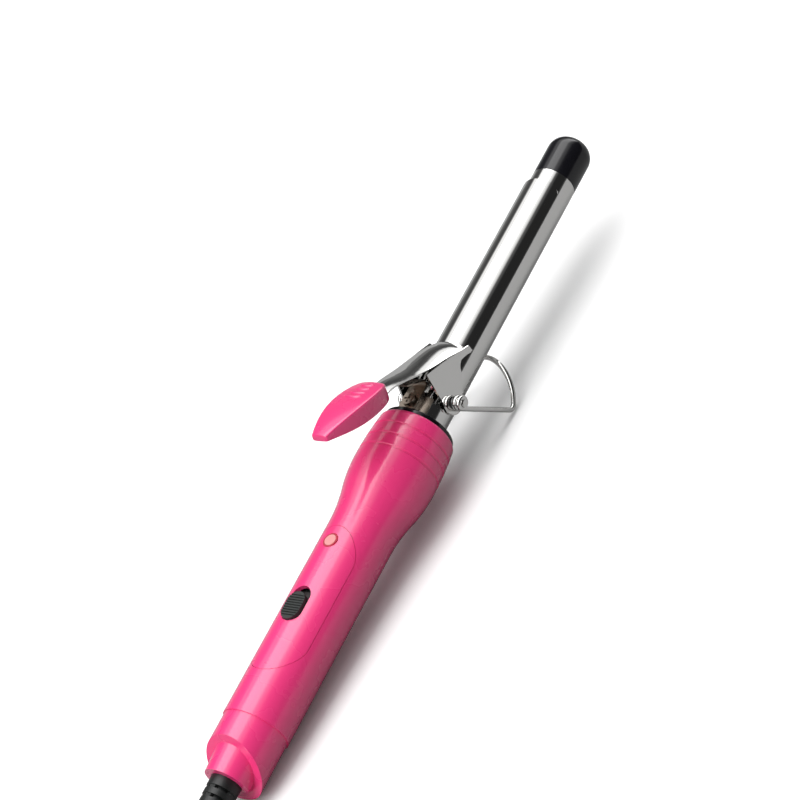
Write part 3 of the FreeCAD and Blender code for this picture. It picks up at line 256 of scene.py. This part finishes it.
# %% [markdown]
# Every finish starts the same way: a material whose colour drifts a little, whose roughness is uneven, and
# whose surface is never quite flat. One helper lays down that base from two noise patterns on the piece's
# own coordinates, a broad one for colour and roughness and a fine one for the grain, and each finish then
# says how coarse and how strong they are.

# %% A helper for finishes
cloud_scale = 60
grain_depth = 0.0004


def finish(name, colour, metal, rough, drift=0.04, rough_spread=0.05, grain=900, bump=0.02,
           stretch=(1, 1, 1)):
    """A material with drifting colour, uneven roughness and a fine grain; lengths are in metres."""
    material = bpy.data.materials.new(name)
    material.use_nodes = True
    tree = material.node_tree
    shader = tree.nodes["Principled BSDF"]
    shader.inputs["Metallic"].default_value = metal
    place = tree.nodes.new("ShaderNodeTexCoord")
    spread = tree.nodes.new("ShaderNodeMapping")
    spread.inputs["Scale"].default_value = stretch
    tree.links.new(place.outputs["Object"], spread.inputs["Vector"])

    cloud = tree.nodes.new("ShaderNodeTexNoise")
    cloud.inputs["Scale"].default_value = cloud_scale
    cloud.inputs["Detail"].default_value = 3
    tree.links.new(spread.outputs["Vector"], cloud.inputs["Vector"])
    tone = tree.nodes.new("ShaderNodeValToRGB")
    for element, factor in zip(tone.color_ramp.elements, (1 - drift, 1 + drift)):
        element.color = (*[min(1, channel * factor) for channel in colour], 1)
    tone.color_ramp.elements[0].position, tone.color_ramp.elements[1].position = 0.35, 0.65
    tree.links.new(cloud.outputs["Fac"], tone.inputs["Fac"])
    tree.links.new(tone.outputs["Color"], shader.inputs["Base Color"])

    worn = tree.nodes.new("ShaderNodeMapRange")
    worn.inputs["From Min"].default_value, worn.inputs["From Max"].default_value = 0.3, 0.7
    worn.inputs["To Min"].default_value = max(0.02, rough - rough_spread)
    worn.inputs["To Max"].default_value = rough + rough_spread
    tree.links.new(cloud.outputs["Fac"], worn.inputs["Value"])
    tree.links.new(worn.outputs["Result"], shader.inputs["Roughness"])

    speck = tree.nodes.new("ShaderNodeTexNoise")
    speck.inputs["Scale"].default_value = grain
    speck.inputs["Detail"].default_value = 2
    tree.links.new(spread.outputs["Vector"], speck.inputs["Vector"])
    relief = tree.nodes.new("ShaderNodeBump")
    relief.inputs["Strength"].default_value = bump
    relief.inputs["Distance"].default_value = grain_depth
    tree.links.new(speck.outputs["Fac"], relief.inputs["Height"])
    tree.links.new(relief.outputs["Normal"], shader.inputs["Normal"])
    return material


finishes = {}

# %% [markdown]
# The handle, its rear cap, the switch panel and the thumb rest are one batch of injection-moulded gloss
# plastic. The colour is a strong pink with a thin clear skin, so it keeps a sharp highlight over a softer
# one.

# %% Pink moulded plastic
pink = finish("pink_plastic", (0.85, 0.045, 0.21), 0, 0.27, drift=0.006, rough_spread=0.02, grain=500,
              bump=0.012)
shader = pink.node_tree.nodes["Principled BSDF"]
shader.inputs["Coat Weight"].default_value = 0.9
shader.inputs["Coat Roughness"].default_value = 0.09
finishes["pink_plastic"] = pink

# %% [markdown]
# Chrome is nearly a mirror. What makes it look real is a very slight unevenness from the pressing and
# polishing, and faint smears that dull it in patches.

# %% Chrome
finishes["chrome"] = finish("chrome", (0.84, 0.835, 0.82), 1, 0.07, drift=0.01, rough_spread=0.025, grain=250,
                            bump=0.01, stretch=(0.25, 1, 1))

# %% [markdown]
# The spring, its saddle and screw are chrome plated, but they take a darker, warmer colour than the chrome, with a
# broad random drift: painted shade and a painted brown reflection, for parts that sit in the lever's shadow.

# %% Dark nickel colour: painted shade and reflection
# painted shade and reflection: a darker, warmer base than the chrome these plated parts really have
finishes["dark_nickel"] = finish("dark_nickel", (0.36, 0.3, 0.25), 1, 0.26, drift=0.25, rough_spread=0.1,
                                 grain=700, bump=0.05)

# %% [markdown]
# The cool tip and the bushing are black heat-proof plastic with a polished skin. The switch is the same
# black, left matt, and the resin blocks inside are brown and dull.

# %% Black plastics and resin
finishes["black_plastic"] = finish("black_plastic", (0.006, 0.006, 0.008), 0, 0.14, drift=0.2, grain=400,
                                   bump=0.01)
finishes["dark_plastic"] = finish("dark_plastic", (0.02, 0.023, 0.022), 0, 0.42, drift=0.15, grain=1500,
                                  bump=0.06)
finishes["heat_resin"] = finish("heat_resin", (0.07, 0.045, 0.03), 0, 0.6, drift=0.15, grain=1200, bump=0.1)

# %% [markdown]
# Rubber is soft and slightly grainy, with a wide dull sheen. The cord's sheath is a smoother, harder kind.

# %% Rubber and cord sheath
finishes["rubber"] = finish("rubber", (0.012, 0.013, 0.013), 0, 0.42, drift=0.25, grain=1600, bump=0.12)
finishes["cord_sheath"] = finish("cord_sheath", (0.014, 0.014, 0.015), 0, 0.38, drift=0.2, grain=1100,
                                 bump=0.08)

# %% [markdown]
# The plain metals inside differ in colour and in how they were worked. Aluminium is drawn, so its grain
# runs along X. Steel is rolled and finer, brass is warm and a little dull.

# %% Steel, aluminium and brass
finishes["steel"] = finish("steel", (0.56, 0.56, 0.57), 1, 0.3, drift=0.06, grain=900, bump=0.04)
finishes["aluminium"] = finish("aluminium", (0.78, 0.78, 0.79), 1, 0.34, drift=0.05, grain=1400, bump=0.06,
                               stretch=(0.04, 1, 1))
finishes["brass"] = finish("brass", (0.75, 0.55, 0.23), 1, 0.28, drift=0.08, grain=800, bump=0.03)

# %% [markdown]
# The heater is unglazed ceramic in an amber film. The fuse wears a woven glass sleeve, which a fine wave
# pattern stands for, and the leads are cream plastic.

# %% Ceramic, film, glass sleeve and leads
finishes["ceramic"] = finish("ceramic", (0.84, 0.8, 0.72), 0, 0.75, drift=0.05, grain=1800, bump=0.12)
finishes["film"] = finish("film", (0.6, 0.3, 0.06), 0, 0.2, drift=0.1, grain=300, bump=0.05)
finishes["wire_insulation"] = finish("wire_insulation", (0.78, 0.74, 0.66), 0, 0.5, drift=0.05, grain=700,
                                     bump=0.04)
sleeve = finish("glass_fibre", (0.82, 0.8, 0.72), 0, 0.8, drift=0.06, grain=2500, bump=0.3)
tree = sleeve.node_tree
weave = tree.nodes.new("ShaderNodeTexWave")
weave.bands_direction = "DIAGONAL"
weave.inputs["Scale"].default_value = 900
weave.inputs["Distortion"].default_value = 1.5
place = next(node for node in tree.nodes if node.type == "TEX_COORD")
relief = next(node for node in tree.nodes if node.type == "BUMP")
tree.links.new(place.outputs["Object"], weave.inputs["Vector"])
tree.links.new(weave.outputs["Fac"], relief.inputs["Height"])
finishes["glass_fibre"] = sleeve

# %% [markdown]
# The lamp has a clear red rim and a pale lens. Both are cast plastic that lets some light in, so they get a
# little transmission and scattering under the gloss. The neon bulb behind them is thin glass.

# %% Lamp plastics and glass
rim = finish("lamp_red", (0.62, 0.03, 0.07), 0, 0.16, drift=0.08, grain=300, bump=0.01)
shader = rim.node_tree.nodes["Principled BSDF"]
shader.inputs["Transmission Weight"].default_value = 0.25
lens = finish("lamp_cream", (0.75, 0.3, 0.3), 0, 0.18, drift=0.06, grain=350, bump=0.02)
shader = lens.node_tree.nodes["Principled BSDF"]
shader.inputs["Subsurface Weight"].default_value = 0.2
shader.inputs["Subsurface Scale"].default_value = 0.002
glass = finish("lamp_glass", (0.93, 0.86, 0.8), 0, 0.06, drift=0.02, grain=200, bump=0.01)
shader = glass.node_tree.nodes["Principled BSDF"]
shader.inputs["Transmission Weight"].default_value = 0.9
finishes.update({"lamp_red": rim, "lamp_cream": lens, "lamp_glass": glass})

# %% [markdown]
# Now the pieces that need more shape than a plain part. They share a few small tools: one that starts a
# mesh from cross-sections joined along a line, one that smooths it by subdivision, and one that places a
# finished mesh.

# %% Tools for shaping
smooth_below = math.radians(42)


def lofted(name, sections):
    """A closed skin over cross-sections that all have the same number of corners."""
    count = len(sections[0])
    corners = [corner for section in sections for corner in section]
    faces = []
    for first in range(0, len(corners) - count, count):
        for i in range(count):
            after = (i + 1) % count
            faces.append((first + i, first + after, first + count + after, first + count + i))
    faces += [tuple(range(count))[::-1], tuple(range(len(corners) - count, len(corners)))]
    mesh = bpy.data.meshes.new(name)
    mesh.from_pydata(corners, [], faces)
    piece = bpy.data.objects.new(name, mesh)
    scene.collection.objects.link(piece)
    select(piece)
    bpy.ops.object.mode_set(mode="EDIT")
    bpy.ops.mesh.select_all(action="SELECT")
    bpy.ops.mesh.normals_make_consistent(inside=False)
    bpy.ops.object.mode_set(mode="OBJECT")
    return piece


def smoothed(piece):
    """Subdivide a coarse shape twice, which rounds it between its corners."""
    select(piece)
    modifier = piece.modifiers.new("smooth", "SUBSURF")
    modifier.levels = 2
    modifier.render_levels = 2
    bpy.ops.object.modifier_apply(modifier=modifier.name)


def settle(piece, place, body, replaced, slot):
    """Put a piece modelled in millimetres in its place, give it its finish, attach it to its body and hide the
    parts it replaces.
    """
    piece.data.transform(place @ Matrix.Scale(0.001, 4))
    select(piece)
    bpy.ops.object.shade_smooth_by_angle(angle=smooth_below)
    piece.data.materials.clear()
    piece.data.materials.append(finishes[slot])
    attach(piece, body)
    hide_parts(*replaced)
    print(piece.name, len(piece.data.polygons), "faces")


# %% [markdown]
# The thumb rest is a long leaf of plastic, blunt at its front and narrow at its end, slipped over the
# lever's tail. Its outline swells and narrows, its top is crowned, and its edges are soft. We give its half
# width, crown and floor at a few places from front to end, as a sculptor would, and let subdivision smooth
# the skin.

# %% Thumb rest
rest_tilt = math.radians(22)
rest_front = Vector((-12.742, 0, 30.2)) / 1000
rest_place = wand @ Matrix.Translation(rest_front) @ Matrix.Rotation(rest_tilt, 4, "Y")
edge, crown = 0.35, 0.5
leaf = [(0.0, 5.3, 4.4, -2.6), (-0.3, 5.9, 4.9, -2.75), (-1.2, 6.6, 5.1, -2.8), (-5, 8.2, 5.5, -2.8),
        (-12, 9, 5.9, -2.8), (-19, 8.7, 5.7, -2.75), (-25, 7.5, 5.1, -2.3), (-30.5, 6, 4.1, -1.6),
        (-34.6, 4.5, 3.0, -1.0), (-36.5, 3.9, 2.4, -0.8), (-37, 3.5, 2.2, -0.7)]


def leaf_section(x, half, top, bottom):
    """A cushion-like section: flat underneath, with soft edges and a crowned top."""
    return [(x, -half + edge, bottom), (x, half - edge, bottom), (x, half, bottom + edge),
            (x, half, top - crown - edge), (x, half - edge, top - crown), (x, half * 0.5, top - crown * 0.25),
            (x, 0, top), (x, -half * 0.5, top - crown * 0.25), (x, -half + edge, top - crown),
            (x, -half, top - crown - edge), (x, -half, bottom + edge)]


thumb_rest = lofted("thumb_rest_leaf", [leaf_section(*place) for place in leaf])
smoothed(thumb_rest)
print("the leaf has", len(thumb_rest.data.vertices), "corners")

# %% [markdown]
# Four shallow ribs cross the front of the rest so that the thumb doesn't slip. Each is a slim rod bent to a
# gentle bow and sunk halfway into the top.

# %% Ribs on the rest
rib_count, rib_sides = 4, 6
rib_wide, rib_high = 0.7, 0.75
sixth = 2 * math.pi / rib_sides


def rib_section(x, y, top):
    """A six-sided ring round one point of a rib's middle line."""
    return [(x + rib_wide * math.cos(sixth * i), y, top + rib_high * math.sin(sixth * i))
            for i in range(rib_sides)]


ribs = []
for row in range(rib_count):
    x = -4.6 - 3.1 * row
    top = 5.25 + 0.17 * row
    reach = 3.4 + 0.35 * row
    rib = lofted("rib", [rib_section(x + 1.1 * part ** 2, reach * part, top - 0.3 * part ** 2)
                         for part in (-1, -0.5, 0, 0.5, 1)])
    smoothed(rib)
    ribs.append(rib)
select(thumb_rest)
for rib in ribs:
    rib.select_set(True)
bpy.ops.object.join()
settle(thumb_rest, rest_place, "clip", ["thumb_rest"], "pink_plastic")

# %% [markdown]
# The plug is moulded in one go round its pins, so every edge is soft. A block is drawn in towards the cord
# and smoothed.

# %% Plug body
low_plug, high_plug = [corner * 1000 for corner in map(Vector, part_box("plug_body"))]
plug_middle = (low_plug + high_plug) / 2
half_wide, half_deep = (high_plug.y - low_plug.y) / 2, (high_plug.z - low_plug.z) / 2
stations = [(0, 0.36, 0.72), (1.5, 0.38, 0.78), (8, 0.4, 0.8), (14, 0.97, 0.96), (16, 1, 1), (29, 1, 1),
            (31.5, 0.97, 0.93), (32, 0.9, 0.85)]
corner_share = 0.3


def plug_section(back, wide, deep):
    """An eight-sided section, some way behind the cord's end; wide and deep are shares of the whole."""
    y, z, cut = half_wide * wide, half_deep * deep, half_deep * deep * corner_share
    return [(-back, -y + cut, -z), (-back, y - cut, -z), (-back, y, -z + cut), (-back, y, z - cut),
            (-back, y - cut, z), (-back, -y + cut, z), (-back, -y, z - cut), (-back, -y, -z + cut)]


plug = lofted("plug_moulding", [plug_section(*station) for station in stations])
smoothed(plug)
plug_place = Matrix.Translation(Vector((high_plug.x, plug_middle.y, plug_middle.z)) / 1000)
settle(plug, plug_place, "handle", ["plug_body"], "rubber")

# %% [markdown]

# %% [markdown]
# The record names a finish for each part, so a loop hands them out. The parts that no piece replaced show
# theirs.

# %% Each part takes its finish
for entry in frame["record"]["subparts"]:
    node = frame["nodes"][entry["node"]]
    node.data.materials.clear()
    node.data.materials.append(finishes[entry["material_slot"]])
power_cord.data.materials.append(finishes["cord_sheath"])
print(len(finishes), "finishes on", len(frame["nodes"]), "parts")
